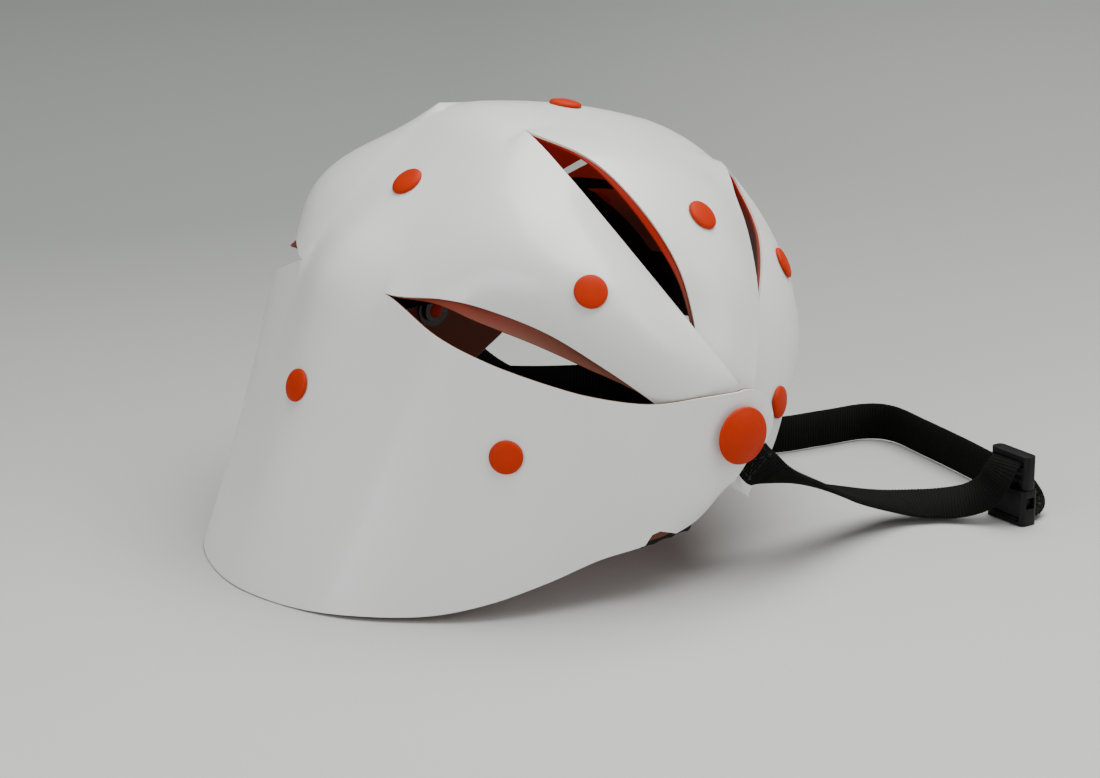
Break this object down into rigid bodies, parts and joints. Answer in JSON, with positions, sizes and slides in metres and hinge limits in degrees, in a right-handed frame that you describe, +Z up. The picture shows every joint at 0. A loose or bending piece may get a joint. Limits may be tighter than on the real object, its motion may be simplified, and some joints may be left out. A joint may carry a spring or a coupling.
{
  "type": "folding sheet helmet",
  "caption": "Light folding helmet of slit white plastic sheet riveted over a coloured inner sheet, with a webbing cradle, pads and a buckled chin strap.",
  "frame": {"origin": "on the surface that the helmet stands on, midway between the two ear posts", "axes": "+X to the wearer's left, +Y to the back of the head, +Z up"},
  "size_m": [0.2259, 0.299, 0.1617],
  "materials": {
    "outer_sheet": "glossy white polypropylene sheet",
    "inner_sheet": "satin red-orange polypropylene sheet",
    "rivet_plastic": "satin orange moulded plastic",
    "metal": "plain plated steel",
    "webbing": "ribbed black polypropylene webbing",
    "buckle_plastic": "fine-textured black acetal",
    "pad_fabric": "black brushed knit over foam"
  },
  "bodies": {
    "shell": {"outer_sheet": "outer_sheet", "inner_sheet": "inner_sheet", "rivet_nape": "rivet_plastic", "rivet_nape_side_right": "rivet_plastic", "rivet_nape_side_left": "rivet_plastic", "rivet_rear_crown": "rivet_plastic", "rivet_rear_side_right": "rivet_plastic", "rivet_rear_side_left": "rivet_plastic", "rivet_top_crown": "rivet_plastic", "rivet_top_side_right": "rivet_plastic", "rivet_top_side_left": "rivet_plastic", "rivet_brow": "rivet_plastic", "rivet_brow_side_right": "rivet_plastic", "rivet_brow_side_left": "rivet_plastic", "rivet_temple_right": "rivet_plastic", "rivet_temple_left": "rivet_plastic", "rivet_nape_back": "rivet_plastic", "rivet_nape_side_right_back": "rivet_plastic", "rivet_nape_side_left_back": "rivet_plastic", "rivet_rear_crown_back": "rivet_plastic", "rivet_rear_side_right_back": "rivet_plastic", "rivet_rear_side_left_back": "rivet_plastic", "rivet_top_crown_back": "rivet_plastic", "rivet_top_side_right_back": "rivet_plastic", "rivet_top_side_left_back": "rivet_plastic", "rivet_brow_back": "rivet_plastic", "rivet_brow_side_right_back": "rivet_plastic", "rivet_brow_side_left_back": "rivet_plastic", "rivet_temple_right_back": "rivet_plastic", "rivet_temple_left_back": "rivet_plastic", "ear_grommet_right": "metal", "ear_grommet_left": "metal", "ear_pad_right": "pad_fabric", "ear_pad_left": "pad_fabric", "head_band": "webbing", "crown_strap_long": "webbing", "crown_strap_cross": "webbing", "brow_pad": "pad_fabric", "nape_pad": "pad_fabric", "crown_pad": "pad_fabric"},
    "chin_strap": {"strap_anchor_right": "webbing", "strap_anchor_left": "webbing", "strap_right": "webbing", "strap_left": "webbing", "buckle_socket": "buckle_plastic"},
    "plug": {"buckle_plug": "buckle_plastic"},
    "prong_right": {"buckle_prong_right": "buckle_plastic"},
    "prong_left": {"buckle_prong_left": "buckle_plastic"},
    "cap_right": {"ear_cap_right": "rivet_plastic", "ear_clip_right": "metal"},
    "cap_left": {"ear_cap_left": "rivet_plastic", "ear_clip_left": "metal"}
  },
  "joints": [
    {"name": "chin_strap_swing", "type": "hinge", "parent": "shell", "child": "chin_strap", "pos_m": [0, 0, 0.0575], "axis": [1, 0, 0], "range_deg": [-20, 15]},
    {"name": "buckle_release", "type": "slide", "parent": "chin_strap", "child": "plug", "axis": [0, 0, 1], "range_m": [0, 0.018], "deforming": ["strap_right"]},
    {"name": "prong_right_press", "type": "hinge", "parent": "plug", "child": "prong_right", "pos_m": [-0.1126, -0.1295, 0.015], "axis": [0, -1, 0], "range_deg": [0, 6], "stiffness_Nm_per_rad": 0.02},
    {"name": "prong_left_press", "type": "hinge", "parent": "plug", "child": "prong_left", "pos_m": [-0.1014, -0.1295, 0.015], "axis": [0, 1, 0], "range_deg": [0, 6], "stiffness_Nm_per_rad": 0.02},
    {"name": "ear_cap_right_turn", "type": "hinge", "parent": "shell", "child": "cap_right", "pos_m": [-0.104, 0, 0.0575], "axis": [1, 0, 0], "continuous": true},
    {"name": "ear_cap_left_turn", "type": "hinge", "parent": "shell", "child": "cap_left", "pos_m": [0.104, 0, 0.0575], "axis": [1, 0, 0], "continuous": true}
  ]
}
